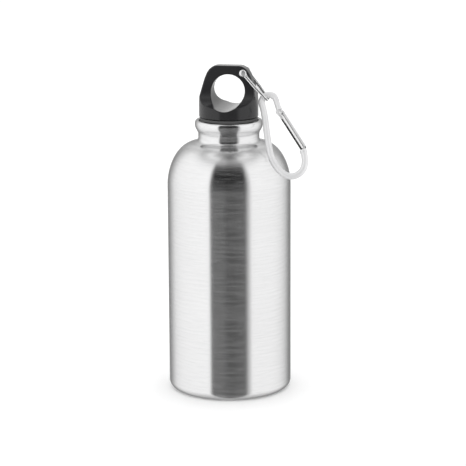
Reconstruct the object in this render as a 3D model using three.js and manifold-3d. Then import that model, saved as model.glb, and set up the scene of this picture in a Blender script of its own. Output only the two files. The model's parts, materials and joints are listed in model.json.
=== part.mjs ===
// A single-wall steel sports bottle with a screw cap. The cap ends in a flat loop with a finger hole,
// and a U-shaped link riveted through the loop's corner carries a small carabiner, which lies against
// the bottle's shoulder. Millimetres, +Z up, origin at the centre of the base.

import * as THREE from 'three';
import { mergeVertices } from 'three/addons/utils/BufferGeometryUtils.js';
import Module from 'manifold-3d';

const wasm = await Module();
wasm.setup();

// ---------------------------------------------------------------- driving dimensions

const GAP = 0.3; // clearance between two pieces that rest on each other
const RUNNING_GAP = 0.08; // clearance of a hole that turns on its pin
const RADIAL_STEPS = 48; // facets round the bottle

const BODY_RADIUS = 32.5;
const WALL = 0.5;
const BASE_CORNER = 4;
const FOOT_WIDTH = 2; // flat ring that the bottle stands on
const DISC_OVERLAP = 0.7; // how far the base disc reaches past the foot's outer edge
const DISC_BEAD_RADIUS = 22; // middle of the base disc's pressed bead
const DISC_BEAD_LIFT = 1.2;
const SHOULDER_START = 110;
const SHOULDER_END = 132.3;
const NECK_RADIUS = 16.05;
const BEAD_OUTER = 17.8; // the rolled rim's largest radius
const BEAD_HEIGHT = 142.2; // height of the rolled rim's widest place
const RIM_TOP = 144.35;

const THREAD_LEAD = 4.5;
const RING_OUTER = 15.2; // female thread: ring fixed in the neck
const RING_ROOT = 14.3;
const RING_BOTTOM = 131.8;
const RING_THREAD_TOP = 142.9;
const RING_TOP = 143.95; // the ring's plain collar is the gasket's seat
const PLUG_ROOT = 12.55; // male thread: the cap's plug
const PLUG_BORE = 10.6;
const PLUG_BOTTOM = 132.1;
const PLUG_THREAD_TOP = 143.45;
const THREAD_DEPTH = 1.4;
const THREAD_STEPS = 40; // facets round a threaded piece
const THREAD_FADE = 1.6; // height over which a thread runs out at each end

const GASKET_INNER = 13.2; // the gasket shows as a ring under the cap
const GASKET_OUTER = 15.2;
const GASKET_THICKNESS = 1.5;
const GASKET_BOTTOM = RING_TOP + GAP;
const GASKET_TOP = GASKET_BOTTOM + GASKET_THICKNESS;
const CAP_RADIUS = 15.6;
const CAP_BOTTOM = GASKET_TOP + GAP;
const CAP_CHAMFER = 0.3;
const CAP_TOP = 173;
const LOOP_CENTRE = 0.3; // the loop stands this far from the axis, towards the rivet
const LOOP_HALF_THICKNESS = 3.3;
const LOOP_FLARE_TOP = 164.5; // the loop flares out below this height
const LOOP_FLARE_BOTTOM = 151.2;
const FINGER_HOLE_RADIUS = 8.95;
const FINGER_HOLE_CENTRE = 0.45;
const FINGER_HOLE_HEIGHT = 159.5;

const PIN_X = 8.6; // rivet through the loop's corner
const PIN_Z = 169.5;
const RIVET_RADIUS = 1.0;
const RIVET_HEAD_RADIUS = 1.9;
const RIVET_HEAD_HEIGHT = 1.3;

const LINK_DROP = 49; // degrees below horizontal
const LINK_STRIP_WIDTH = 2.2; // at the rivet; it narrows towards the bend
const LINK_NARROWING = 0.02; // part of its width that the strip loses in each millimetre
const LINK_STRIP_THICKNESS = 0.6;
const LINK_ARM_OFFSET = 4.35; // from the loop's middle plane to the middle of an arm
const LINK_EYE_RADIUS = 1.75;
const LINK_TO_WIRE = 16.15; // rivet to the carabiner wire's centre
const LINK_BEND_HALF = 3.1; // half the distance between the arms beside the wire
const LINK_BEND_END = 18.95; // rivet to the middle of the strip at the bend's end

const WIRE_RADIUS = 1.7;
const WIRE_SIDES = 10;
const GATE_ANGLE = 12.8; // degrees between the gate and the carabiner's long axis
const GATE_PIVOT = new THREE.Vector2(12.9, 5.6); // along and across the carabiner
const GATE_LENGTH = 21.5; // pivot to free end
const GATE_WEB = 1.4; // pivot to the channel's outer face
const GATE_SHEET = 0.55;
const GATE_HALF_DEPTH = 1.95;
const GATE_FRONT_LEG = 1.15; // how far each leg reaches inwards past the pivot
const GATE_REAR_LEG = 1.9;
const GATE_TRAVEL = 22; // degrees
const TONGUE_HALF = 1.1; // half thickness of the flattened wire ends inside the gate
const TONGUE_RADIUS = 2.0;
const PIVOT_RADIUS = 0.55;
const PIVOT_HEAD_RADIUS = 1.0;
const PLUNGER_RADIUS = 0.85;
const PLUNGER_TIP = TONGUE_RADIUS + GAP; // pivot to the plunger's end that rides on the cam
const PLUNGER_END = PLUNGER_TIP + 2.4;
const PLUNGER_SIDE = -0.4; // the plunger's axis lies this far inwards of the pivot
const SPRING_SEAT = 15.2; // pivot to the gate's cross tab

// ---------------------------------------------------------------- materials

const finish = (color, roughness, metalness) =>
  new THREE.MeshStandardMaterial({ color, roughness, metalness });

const brushedSteel = () => finish(0xc9cacb, 0.32, 1);
const polishedSteel = () => finish(0xdddddd, 0.12, 1);
const satinAluminium = () => finish(0xd8d9da, 0.38, 0.9);
const blackPlastic = () => finish(0x161616, 0.22, 0);
const darkRubber = () => finish(0x222222, 0.8, 0);

// ---------------------------------------------------------------- general helpers

const radians = THREE.MathUtils.degToRad;
const vector2 = (x, y) => new THREE.Vector2(x, y);

function solid(geometry) {
  const bare = geometry.clone();
  bare.deleteAttribute('normal');
  bare.deleteAttribute('uv');
  const merged = mergeVertices(bare, 1e-4);
  return new wasm.Manifold(new wasm.Mesh({
    numProp: 3,
    vertProperties: new Float32Array(merged.attributes.position.array),
    triVerts: new Uint32Array(merged.index.array),
  }));
}

function geometryOf(manifold) {
  const mesh = manifold.getMesh();
  const geometry = new THREE.BufferGeometry();
  geometry.setAttribute('position', new THREE.BufferAttribute(mesh.vertProperties, 3));
  geometry.setIndex(new THREE.BufferAttribute(mesh.triVerts, 1));
  return geometry;
}

function piece(name, geometry, material, parent) {
  const mesh = new THREE.Mesh(geometry, material);
  mesh.name = name;
  parent.add(mesh);
  return mesh;
}

// Revolves a profile of (radius, height) points about Z. The profile runs counter-clockwise,
// up the outside and down the inside.
function revolve(profile, steps = RADIAL_STEPS) {
  return new THREE.LatheGeometry(profile, steps).rotateX(Math.PI / 2);
}

// A closed ring profile repeats its first point.
const ring = (profile, steps) => revolve([...profile, profile[0]], steps);

// A prism of an outline in X and Y, from the height z0 to z1.
function prism(outline, z0, z1) {
  const shape = new THREE.Shape(outline);
  return new THREE.ExtrudeGeometry(shape, { depth: z1 - z0, bevelEnabled: false }).translate(0, 0, z0);
}

// A cylinder along Z.
function rod(radius, z0, z1, steps = 24) {
  return new THREE.CylinderGeometry(radius, radius, z1 - z0, steps)
    .rotateX(Math.PI / 2)
    .translate(0, 0, (z0 + z1) / 2);
}

// A box given by its two corners.
function block(low, high) {
  const size = high.map((value, axis) => value - low[axis]);
  const centre = high.map((value, axis) => (value + low[axis]) / 2);
  return new THREE.BoxGeometry(...size).translate(...centre);
}

function regularPolygon(radius, sides) {
  return Array.from({ length: sides }, (_, i) => {
    const angle = (2 * Math.PI * i) / sides;
    return vector2(radius * Math.cos(angle), radius * Math.sin(angle));
  });
}

// Moves each point of an open line sideways, to its left when the distance is positive.
function offsetLine(points, distance) {
  return points.map((point, i) => {
    const before = points[Math.max(i - 1, 0)];
    const after = points[Math.min(i + 1, points.length - 1)];
    const along = after.clone().sub(before).normalize();
    return vector2(point.x - along.y * distance, point.y + along.x * distance);
  });
}

// A rivet along Z: a shank with a domed head beyond each end of its grip.
function rivet(radius, headRadius, headHeight, halfGrip) {
  const dome = new THREE.Path();
  dome.moveTo(headRadius, halfGrip);
  dome.lineTo(headRadius, halfGrip + headHeight * 0.3);
  dome.bezierCurveTo(headRadius, halfGrip + headHeight * 0.75, headRadius * 0.6, halfGrip + headHeight,
    0, halfGrip + headHeight);
  const top = dome.getPoints(4);
  const bottom = top.map((point) => vector2(point.x, -point.y)).reverse();
  return revolve([...bottom, vector2(radius, -halfGrip), vector2(radius, halfGrip), ...top], 18);
}

// ---------------------------------------------------------------- screw thread

// 1 on a ridge's crest, 0 between ridges, for a point at an angle and a height.
function ridge(angle, height, phase, crestHalf, baseHalf) {
  const turns = height / THREAD_LEAD - angle / (2 * Math.PI) - phase;
  const distance = Math.abs(turns - Math.round(turns));
  return THREE.MathUtils.clamp((baseHalf - distance) / (baseHalf - crestHalf), 0, 1);
}

// Raises a helical ridge on every vertex that lies at the given radius.
function cutThread(geometry, radius, depth, bottom, top, phase, crestHalf, baseHalf) {
  const position = geometry.attributes.position;
  for (let i = 0; i < position.count; i += 1) {
    const x = position.getX(i);
    const y = position.getY(i);
    const z = position.getZ(i);
    if (Math.abs(Math.hypot(x, y) - radius) < 1e-3) {
      const fade = THREE.MathUtils.clamp(Math.min(z - bottom, top - z) / THREAD_FADE, 0, 1);
      const angle = Math.atan2(y, x);
      const scale = 1 + (depth * fade * ridge(angle, z, phase, crestHalf, baseHalf)) / radius;
      position.setXY(i, x * scale, y * scale);
    }
  }
  return geometry;
}

// A straight wall of a profile, divided finely enough to take the thread.
function threadWall(radius, from, to) {
  const steps = Math.round(Math.abs(to - from) / (THREAD_LEAD / 8));
  return Array.from({ length: steps + 1 }, (_, i) => vector2(radius, from + ((to - from) * i) / steps));
}

// ---------------------------------------------------------------- bottle

// The bottle's outside from the foot to the rolled rim's widest place.
function bottleOutline(divisions) {
  const path = new THREE.Path();
  path.moveTo(BODY_RADIUS - BASE_CORNER, 0);
  path.absarc(BODY_RADIUS - BASE_CORNER, BASE_CORNER, BASE_CORNER, -Math.PI / 2, 0);
  path.lineTo(BODY_RADIUS, SHOULDER_START);
  path.bezierCurveTo(BODY_RADIUS, 119, 28, 130.5, 19.4, SHOULDER_END);
  path.quadraticCurveTo(NECK_RADIUS + 0.1, 132.9, NECK_RADIUS, 135);
  path.lineTo(NECK_RADIUS, 136.6);
  path.bezierCurveTo(NECK_RADIUS, 138.8, BEAD_OUTER, 139.4, BEAD_OUTER, BEAD_HEIGHT);
  return path.getPoints(divisions);
}

function bottleShell() {
  const outside = bottleOutline(6);
  const neckInside = NECK_RADIUS - WALL;
  const inside = offsetLine(bottleOutline(4), WALL)
    .filter((point) => point.y < 136.7 && point.y > WALL)
    .reverse();
  const bead = new THREE.Path();
  bead.moveTo(BEAD_OUTER, BEAD_HEIGHT);
  bead.bezierCurveTo(BEAD_OUTER, BEAD_HEIGHT + 1.3, 17.3, RIM_TOP, 16.6, RIM_TOP);
  bead.quadraticCurveTo(neckInside, RIM_TOP, neckInside, RIM_TOP - 0.7);
  const footInner = BODY_RADIUS - BASE_CORNER - FOOT_WIDTH;
  return ring([
    vector2(footInner, 0),
    ...outside,
    ...bead.getPoints(4).slice(1),
    ...inside,
    vector2(BODY_RADIUS - BASE_CORNER, WALL),
    vector2(footInner, WALL),
  ]);
}

// The base disc lies on the foot's flange, with one pressed bead round it for stiffness.
function basePlate() {
  const underside = WALL + GAP;
  const top = underside + WALL;
  const radius = BODY_RADIUS - BASE_CORNER + DISC_OVERLAP;
  const crest = 1.5; // half the width of the bead's flat top, from below
  const foot = 3; // half its width where it leaves the disc
  const thinner = 0.2; // the bend's inside is this much tighter
  const bead = (distance, height) => vector2(DISC_BEAD_RADIUS + distance, height);
  return revolve([
    vector2(0, underside),
    bead(-foot, underside),
    bead(-crest, underside + DISC_BEAD_LIFT),
    bead(crest, underside + DISC_BEAD_LIFT),
    bead(foot, underside),
    vector2(radius, underside),
    vector2(radius, top),
    bead(foot - thinner, top),
    bead(crest - thinner, top + DISC_BEAD_LIFT),
    bead(thinner - crest, top + DISC_BEAD_LIFT),
    bead(thinner - foot, top),
    vector2(0, top),
  ]);
}

function neckThreadRing() {
  const body = ring([
    vector2(RING_OUTER, RING_BOTTOM),
    vector2(RING_OUTER, RING_TOP),
    ...threadWall(RING_ROOT, RING_TOP, RING_BOTTOM),
  ], THREAD_STEPS);
  return cutThread(body, RING_ROOT, -THREAD_DEPTH, RING_BOTTOM, RING_THREAD_TOP, 0.5, 0.1, 0.22);
}

function neckGasket() {
  return ring([
    vector2(GASKET_INNER, GASKET_BOTTOM),
    vector2(GASKET_OUTER, GASKET_BOTTOM),
    vector2(GASKET_OUTER, GASKET_TOP),
    vector2(GASKET_INNER, GASKET_TOP),
  ]);
}

// ---------------------------------------------------------------- cap

// The round base and the threaded plug under it, carried straight up past the top of the loop.
function capBlank() {
  const ceiling = CAP_BOTTOM + 1.1;
  const blank = revolve([
    vector2(0, ceiling),
    vector2(PLUG_BORE - 1.5, ceiling),
    vector2(PLUG_BORE, ceiling - 1.5),
    vector2(PLUG_BORE, PLUG_BOTTOM),
    ...threadWall(PLUG_ROOT, PLUG_BOTTOM, PLUG_THREAD_TOP),
    vector2(PLUG_ROOT, CAP_BOTTOM),
    vector2(CAP_RADIUS - CAP_CHAMFER, CAP_BOTTOM),
    vector2(CAP_RADIUS, CAP_BOTTOM + CAP_CHAMFER),
    vector2(CAP_RADIUS, CAP_TOP + 2),
    vector2(0, CAP_TOP + 2),
  ], THREAD_STEPS);
  return cutThread(blank, PLUG_ROOT, THREAD_DEPTH, PLUG_BOTTOM, PLUG_THREAD_TOP, 0, 0.1, 0.25);
}

// The loop's outline seen from the front, as wide as the base at the bottom, with rounded shoulders.
function loopOutline() {
  const hip = vector2(CAP_RADIUS + 0.1, 150.5);
  const side = (sign) => {
    const half = new THREE.Path();
    half.moveTo(sign * hip.x, PLUG_BOTTOM - 1);
    half.lineTo(sign * hip.x, hip.y);
    half.bezierCurveTo(LOOP_CENTRE + sign * 15.2, 156, LOOP_CENTRE + sign * 13.65, 164,
      LOOP_CENTRE + sign * 11.75, 168.1);
    half.bezierCurveTo(LOOP_CENTRE + sign * 10.9, 170.2, LOOP_CENTRE + sign * 8.9, CAP_TOP,
      LOOP_CENTRE + sign * 5.6, CAP_TOP);
    return half.getPoints(8);
  };
  return [...side(1), ...side(-1).reverse()];
}

// The same piece seen from the side: a thin loop that flares out to the base.
function flareOutline() {
  const half = new THREE.Path();
  const reach = CAP_RADIUS + 1;
  half.moveTo(reach, PLUG_BOTTOM - 1);
  half.lineTo(reach, LOOP_FLARE_BOTTOM);
  half.bezierCurveTo(9.5, LOOP_FLARE_BOTTOM + 2, LOOP_HALF_THICKNESS + 1.3, LOOP_FLARE_BOTTOM + 4.3,
    LOOP_HALF_THICKNESS, LOOP_FLARE_TOP);
  half.lineTo(LOOP_HALF_THICKNESS, CAP_TOP + 1);
  const right = half.getPoints(12);
  const left = right.map((point) => vector2(-point.x, point.y)).reverse();
  return [...right, ...left];
}

function screwCap() {
  const reach = CAP_RADIUS + 2;
  const front = prism(loopOutline(), -reach, reach).rotateX(Math.PI / 2);
  const side = prism(flareOutline(), -reach, reach).rotateX(Math.PI / 2).rotateZ(Math.PI / 2);
  const fingerHole = rod(FINGER_HOLE_RADIUS, -reach, reach, 40)
    .rotateX(Math.PI / 2)
    .translate(FINGER_HOLE_CENTRE, 0, FINGER_HOLE_HEIGHT);
  const rivetHole = rod(RIVET_RADIUS + GAP, -reach, reach)
    .rotateX(Math.PI / 2)
    .translate(PIN_X, 0, PIN_Z);
  const cap = solid(capBlank())
    .intersect(solid(front))
    .intersect(solid(side))
    .subtract(solid(fingerHole))
    .subtract(solid(rivetHole));
  return geometryOf(cap);
}

// ---------------------------------------------------------------- link
// In the link's own frame X runs from the rivet to the bend, and Y along the rivet.

function linkOutline() {
  const half = new THREE.Path();
  const bendX = LINK_TO_WIRE + 0.1;
  half.moveTo(0, LINK_ARM_OFFSET);
  half.lineTo(9, LINK_ARM_OFFSET);
  half.bezierCurveTo(11.5, LINK_ARM_OFFSET, bendX - 3.5, LINK_BEND_HALF,
    bendX, LINK_BEND_HALF);
  half.bezierCurveTo(LINK_BEND_END - 0.5, LINK_BEND_HALF, LINK_BEND_END, LINK_BEND_HALF - 0.9,
    LINK_BEND_END, 0);
  const front = half.getPoints(8).filter((point, i, all) => i === 0 || !point.equals(all[i - 1]));
  const rear = front.slice(0, -1).map((point) => vector2(point.x, -point.y)).reverse();
  const middle = [...front, ...rear];
  const outer = offsetLine(middle, LINK_STRIP_THICKNESS / 2);
  const inner = offsetLine(middle, -LINK_STRIP_THICKNESS / 2).reverse();
  return [...outer, ...inner];
}

// Scales the strip's width down with its distance from the rivet.
function narrowed(geometry) {
  const position = geometry.attributes.position;
  for (let i = 0; i < position.count; i += 1) {
    position.setZ(i, position.getZ(i) * (1 - LINK_NARROWING * position.getX(i)));
  }
  return geometry;
}

function linkStrap() {
  const half = LINK_STRIP_WIDTH / 2;
  const inner = LINK_ARM_OFFSET - LINK_STRIP_THICKNESS / 2;
  const outer = LINK_ARM_OFFSET + LINK_STRIP_THICKNESS / 2;
  let strap = solid(narrowed(prism(linkOutline(), -half, half)));
  for (const side of [1, -1]) {
    const eye = rod(LINK_EYE_RADIUS, inner, outer).rotateX((side * Math.PI) / 2);
    strap = strap.add(solid(eye));
  }
  const hole = rod(RIVET_RADIUS + RUNNING_GAP, -outer - 1, outer + 1).rotateX(Math.PI / 2);
  return geometryOf(strap.subtract(solid(hole)));
}

function linkRivet() {
  const halfGrip = LINK_ARM_OFFSET + LINK_STRIP_THICKNESS / 2 + GAP;
  return rivet(RIVET_RADIUS, RIVET_HEAD_RADIUS, RIVET_HEAD_HEIGHT, halfGrip).rotateX(Math.PI / 2);
}

// ---------------------------------------------------------------- carabiner
// In the carabiner's own frame X runs along it from the link, Y across it towards the gate,
// and the origin is the wire's centre inside the link.

// A plane curve as a path in space for a sweep.
class FlatCurve extends THREE.Curve {
  constructor(path) {
    super();
    this.path = path;
  }

  getPoint(t, target = new THREE.Vector3()) {
    const point = this.path.getPoint(t);
    return target.set(point.x, point.y, 0);
  }
}

// From the hinge end up round the small eye, down the back, and round the wide end to the nose.
function carabinerPath() {
  const eye = vector2(4.1, 1.1);
  const eyeRadius = 3.95;
  const path = new THREE.Path();
  path.moveTo(10.2, 4.8);
  path.lineTo(eye.x, eye.y + eyeRadius);
  path.absarc(eye.x, eye.y, eyeRadius, Math.PI / 2, 1.5 * Math.PI);
  path.bezierCurveTo(11, -2.85, 20, -5.9, 31, -7.05);
  path.bezierCurveTo(38.5, -7.75, 46.4, -4, 46.4, 1.2);
  path.bezierCurveTo(46.4, 6.2, 42.3, 9.35, 35.4, 9.45);
  return path;
}

// The gate's frame: X from its pivot to its free end, Y outwards.
function placeOnGate(geometry) {
  return geometry.rotateZ(radians(GATE_ANGLE)).translate(GATE_PIVOT.x, GATE_PIVOT.y, 0);
}

// The wire's end flattened to go between the gate's legs. Its lower inner corner is the cam that
// the plunger presses on, and its outer side is cut back to clear the gate's web at full travel.
function hingeTongue() {
  const turned = radians(GATE_TRAVEL + 3);
  const reach = 0.5; // how near to the web the outer side comes, from the pivot
  const corner = reach * Math.tan(turned / 2);
  const round = regularPolygon(TONGUE_RADIUS, 24);
  const disc = solid(prism(round, -TONGUE_HALF, TONGUE_HALF));
  const neck = solid(prism([
    vector2(-3.4, -2.6),
    vector2(0, -TONGUE_RADIUS),
    vector2(2.2, -1.6),
    vector2(1.2, reach),
    vector2(-3.4, reach),
  ], -TONGUE_HALF, TONGUE_HALF));
  const clear = solid(prism([
    vector2(-6, reach),
    vector2(-6, -6),
    vector2(corner + 6.5 * Math.cos(turned), reach - 6.5 * Math.sin(turned)),
    vector2(corner, reach),
  ], -TONGUE_HALF - 1, TONGUE_HALF + 1));
  return solid(placeOnGate(geometryOf(disc.add(neck).intersect(clear))));
}

function noseTongue() {
  const tongue = prism([vector2(19, -0.9), vector2(23.5, -0.9), vector2(23.5, 0.5), vector2(19, 0.5)],
    -TONGUE_HALF, TONGUE_HALF);
  const collar = rod(WIRE_RADIUS + 0.25, -0.7, 0.7).rotateY(Math.PI / 2).translate(35.4, 9.5, 0);
  return solid(placeOnGate(tongue)).add(solid(collar));
}

function carabinerFrame() {
  const wire = new THREE.ExtrudeGeometry(new THREE.Shape(regularPolygon(WIRE_RADIUS, WIRE_SIDES)), {
    steps: 50,
    bevelEnabled: false,
    extrudePath: new FlatCurve(carabinerPath()),
  });
  const pinHole = rod(PIVOT_RADIUS + GAP / 2, -4, 4, 16).translate(GATE_PIVOT.x, GATE_PIVOT.y, 0);
  return geometryOf(solid(wire).add(hingeTongue()).add(noseTongue()).subtract(solid(pinHole)));
}

// A folded channel: a web outside and two legs, the front one shorter, with a web notch at the
// free end for the frame's nose and a cross tab that the spring stands on.
function carabinerGate() {
  const top = -1.5;
  const inside = GATE_WEB - GATE_SHEET;
  const innerHalf = GATE_HALF_DEPTH - GATE_SHEET;
  const web = block([top, inside, -GATE_HALF_DEPTH], [GATE_LENGTH, GATE_WEB, GATE_HALF_DEPTH]);
  const rear = block([top, -GATE_REAR_LEG, -GATE_HALF_DEPTH], [GATE_LENGTH, inside + 0.1, -innerHalf]);
  const front = block([top, -GATE_FRONT_LEG, innerHalf], [GATE_LENGTH, inside + 0.1, GATE_HALF_DEPTH]);
  const ear = rod(GATE_WEB, innerHalf, GATE_HALF_DEPTH);
  const tab = block([SPRING_SEAT, -1.5, -innerHalf - 0.1],
    [SPRING_SEAT + GATE_SHEET, inside + 0.1, innerHalf + 0.1]);
  const notch = block([18.5, 0, -innerHalf], [GATE_LENGTH + 1, GATE_WEB + 1, innerHalf]);
  const pinHole = rod(PIVOT_RADIUS + RUNNING_GAP, -4, 4, 24);
  const gate = solid(web)
    .add(solid(rear))
    .add(solid(front))
    .add(solid(ear))
    .add(solid(tab))
    .subtract(solid(notch))
    .subtract(solid(pinHole));
  return placeOnGate(geometryOf(gate));
}

function gatePivotPin() {
  return rivet(PIVOT_RADIUS, PIVOT_HEAD_RADIUS, 0.55, GATE_HALF_DEPTH + GAP / 2)
    .translate(GATE_PIVOT.x, GATE_PIVOT.y, 0);
}

function gatePlunger() {
  const plunger = revolve([
    vector2(0, PLUNGER_TIP),
    vector2(PLUNGER_RADIUS * 0.6, PLUNGER_TIP + 0.12),
    vector2(PLUNGER_RADIUS, PLUNGER_TIP + 0.6),
    vector2(PLUNGER_RADIUS, PLUNGER_END),
    vector2(0, PLUNGER_END),
  ], 16);
  return placeOnGate(plunger.rotateY(Math.PI / 2).translate(0, PLUNGER_SIDE, 0));
}

class Helix extends THREE.Curve {
  constructor(radius, start, end, turns) {
    super();
    Object.assign(this, { radius, start, end, turns });
  }

  getPoint(t, target = new THREE.Vector3()) {
    const angle = 2 * Math.PI * this.turns * t;
    const x = this.start + (this.end - this.start) * t;
    return target.set(x, this.radius * Math.cos(angle), this.radius * Math.sin(angle));
  }
}

function gateSpring() {
  const wireRadius = 0.15;
  const turns = 7;
  const from = PLUNGER_END + GAP + wireRadius;
  const to = SPRING_SEAT - GAP - wireRadius;
  const spring = new THREE.ExtrudeGeometry(new THREE.Shape(regularPolygon(wireRadius, 4)), {
    steps: turns * 8,
    bevelEnabled: false,
    extrudePath: new Helix(PLUNGER_RADIUS - wireRadius, from, to, turns),
  });
  return placeOnGate(spring.translate(0, PLUNGER_SIDE, 0));
}

// ---------------------------------------------------------------- assembly

// A unit vector from its heading about Z, counted from +X, and its angle above horizontal, in degrees.
function direction(heading, elevation) {
  const level = Math.cos(radians(elevation));
  const x = level * Math.cos(radians(heading));
  const y = level * Math.sin(radians(heading));
  return new THREE.Vector3(x, y, Math.sin(radians(elevation)));
}

const bottle = new THREE.Group();

piece('bottle_shell', bottleShell(), brushedSteel(), bottle);
piece('base_plate', basePlate(), brushedSteel(), bottle);
piece('neck_thread_ring', neckThreadRing(), brushedSteel(), bottle);
piece('neck_gasket', neckGasket(), darkRubber(), bottle);
piece('screw_cap', screwCap(), blackPlastic(), bottle);

const pin = new THREE.Group();
pin.position.set(PIN_X, 0, PIN_Z);
bottle.add(pin);
piece('link_rivet', linkRivet(), polishedSteel(), pin);

const link = new THREE.Group();
link.rotation.y = radians(LINK_DROP);
pin.add(link);
piece('link_strap', linkStrap(), polishedSteel(), link);

const carabiner = new THREE.Group();
const along = direction(-45, -56.5);
const towardsGate = direction(14.6, 18.7);
towardsGate.addScaledVector(along, -towardsGate.dot(along)).normalize();
const facing = along.clone().cross(towardsGate);
const drop = radians(LINK_DROP);
carabiner.matrixAutoUpdate = false;
carabiner.matrix.makeBasis(along, towardsGate, facing).setPosition(
  PIN_X + LINK_TO_WIRE * Math.cos(drop), 0, PIN_Z - LINK_TO_WIRE * Math.sin(drop));
bottle.add(carabiner);
piece('carabiner_frame', carabinerFrame(), satinAluminium(), carabiner);
piece('carabiner_gate', carabinerGate(), polishedSteel(), carabiner);
piece('gate_pivot_pin', gatePivotPin(), polishedSteel(), carabiner);
piece('gate_plunger', gatePlunger(), polishedSteel(), carabiner);
piece('gate_spring', gateSpring(), polishedSteel(), carabiner);

export default bottle;
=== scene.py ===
"""The looks of a single-wall steel sports bottle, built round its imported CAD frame.

Every CAD node is replaced by a finer mesh of the same piece, in the same place. Lengths here are in
millimetres, and a mesh is scaled to metres when it is made.
"""

import json
import math

import bpy
import numpy as np
from mathutils import Matrix, Vector


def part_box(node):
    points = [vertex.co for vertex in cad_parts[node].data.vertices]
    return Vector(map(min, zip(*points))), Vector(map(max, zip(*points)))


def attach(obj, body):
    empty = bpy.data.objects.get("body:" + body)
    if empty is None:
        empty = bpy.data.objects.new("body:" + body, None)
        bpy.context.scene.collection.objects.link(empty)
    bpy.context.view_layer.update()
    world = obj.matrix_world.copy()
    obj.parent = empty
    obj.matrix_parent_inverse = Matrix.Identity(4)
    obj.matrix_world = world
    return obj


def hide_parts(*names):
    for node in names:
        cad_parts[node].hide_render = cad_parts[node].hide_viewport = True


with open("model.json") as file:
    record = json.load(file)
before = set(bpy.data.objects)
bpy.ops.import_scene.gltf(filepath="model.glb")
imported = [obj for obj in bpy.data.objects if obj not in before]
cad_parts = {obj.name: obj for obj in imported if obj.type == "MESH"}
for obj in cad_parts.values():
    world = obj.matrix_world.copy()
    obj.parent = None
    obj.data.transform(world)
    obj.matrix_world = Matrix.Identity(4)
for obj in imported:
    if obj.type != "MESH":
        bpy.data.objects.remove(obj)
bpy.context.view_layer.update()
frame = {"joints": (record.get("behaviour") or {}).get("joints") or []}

MM = 0.001  # metres in a millimetre


# ---------------------------------------------------------------- sizes taken from the frame


def low(node):
    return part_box(node)[0] / MM


def high(node):
    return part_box(node)[1] / MM


BODY_RADIUS = high("bottle_shell").x
RIM_TOP = high("bottle_shell").z
CAP_TOP = high("screw_cap").z
CAP_RADIUS = high("screw_cap").x
PLUG_BOTTOM = low("screw_cap").z
RING_BOTTOM = low("neck_thread_ring").z
RING_TOP = high("neck_thread_ring").z
RING_OUTER = high("neck_thread_ring").x
GASKET_BOTTOM = low("neck_gasket").z
GASKET_TOP = high("neck_gasket").z
GASKET_OUTER = high("neck_gasket").x
BASE_DISC_RADIUS = high("base_plate").x
BASE_DISC_BOTTOM = low("base_plate").z
PIN = (low("link_rivet") + high("link_rivet")) / 2
RIVET_HALF_LENGTH = high("link_rivet").y
JOINTS = {joint["name"]: joint for joint in frame["joints"]}
WIRE_CENTRE = Vector(JOINTS["carabiner_swing"]["pos_m"]) / MM
GATE_PIVOT = Vector(JOINTS["gate_open"]["pos_m"]) / MM
GATE_AXIS = Vector(JOINTS["gate_open"]["axis"]).normalized()
GATE_ALONG = Vector(JOINTS["plunger_slide"]["axis"]).normalized()

# ---------------------------------------------------------------- sizes of the shapes

GAP = 0.3
RUNNING_GAP = 0.08
WALL = 0.5
BASE_CORNER = 4
FOOT_WIDTH = 2
SHOULDER_START = 110
SHOULDER_END = 132.3
NECK_RADIUS = 16.05
BEAD_OUTER = 17.8
BEAD_HEIGHT = 142.2

THREAD_LEAD = 4.5
THREAD_DEPTH = 1.4
THREAD_FADE = 1.6
RING_ROOT = 14.3
RING_THREAD_TOP = 142.9
PLUG_ROOT = 12.55
PLUG_BORE = 10.6
PLUG_THREAD_TOP = 143.45
GASKET_INNER = 13.2
CAP_BOTTOM = GASKET_TOP + GAP
CAP_CHAMFER = 0.3
LOOP_CENTRE = 0.3  # from the axis, towards the rivet
LOOP_HALF_THICKNESS = 3.3
LOOP_FLARE_TOP = 164.5
LOOP_FLARE_BOTTOM = 151.2
LOOP_EDGE = 0.8  # rounding of the loop's outer edges
HOLE_EDGE = 0.35
FINGER_HOLE_RADIUS = 8.95
FINGER_HOLE_CENTRE = 0.45
FINGER_HOLE_HEIGHT = 159.5

RIVET_RADIUS = 1.0
RIVET_HEAD_RADIUS = 1.9
RIVET_HEAD_HEIGHT = 1.3
LINK_DROP = math.radians(49)
LINK_STRIP_WIDTH = 2.2
LINK_NARROWING = 0.02
LINK_STRIP_THICKNESS = 0.6
LINK_ARM_OFFSET = RIVET_HALF_LENGTH - RIVET_HEAD_HEIGHT - GAP - LINK_STRIP_THICKNESS / 2
LINK_EYE_RADIUS = 1.75
LINK_TO_WIRE = (WIRE_CENTRE - PIN).length
LINK_BEND_HALF = 3.1
LINK_BEND_END = 18.95

WIRE_RADIUS = 1.7
GATE_ANGLE = math.radians(12.8)  # between the gate and the carabiner's long axis
GATE_HINGE = (12.9, 5.6)  # the gate's pivot along and across the carabiner
GATE_LENGTH = 21.5
GATE_TOP = -1.5
GATE_WEB = 1.4
GATE_SHEET = 0.55
GATE_HALF_DEPTH = 1.95
GATE_FRONT_LEG = 1.15
GATE_REAR_LEG = 1.9
GATE_TRAVEL = math.radians(22)
TONGUE_HALF = 1.1
TONGUE_RADIUS = 2.0
PIVOT_RADIUS = 0.55
PIVOT_HEAD_RADIUS = 1.0
PIVOT_HEAD_HEIGHT = 0.55
PLUNGER_RADIUS = 0.85
PLUNGER_TIP = TONGUE_RADIUS + GAP
PLUNGER_END = PLUNGER_TIP + 2.4
PLUNGER_SIDE = -0.4
PLUNGER_TRAVEL = JOINTS["plunger_slide"]["range_m"][1] / MM
SPRING_SEAT = 15.2

# ---------------------------------------------------------------- curves


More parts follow.
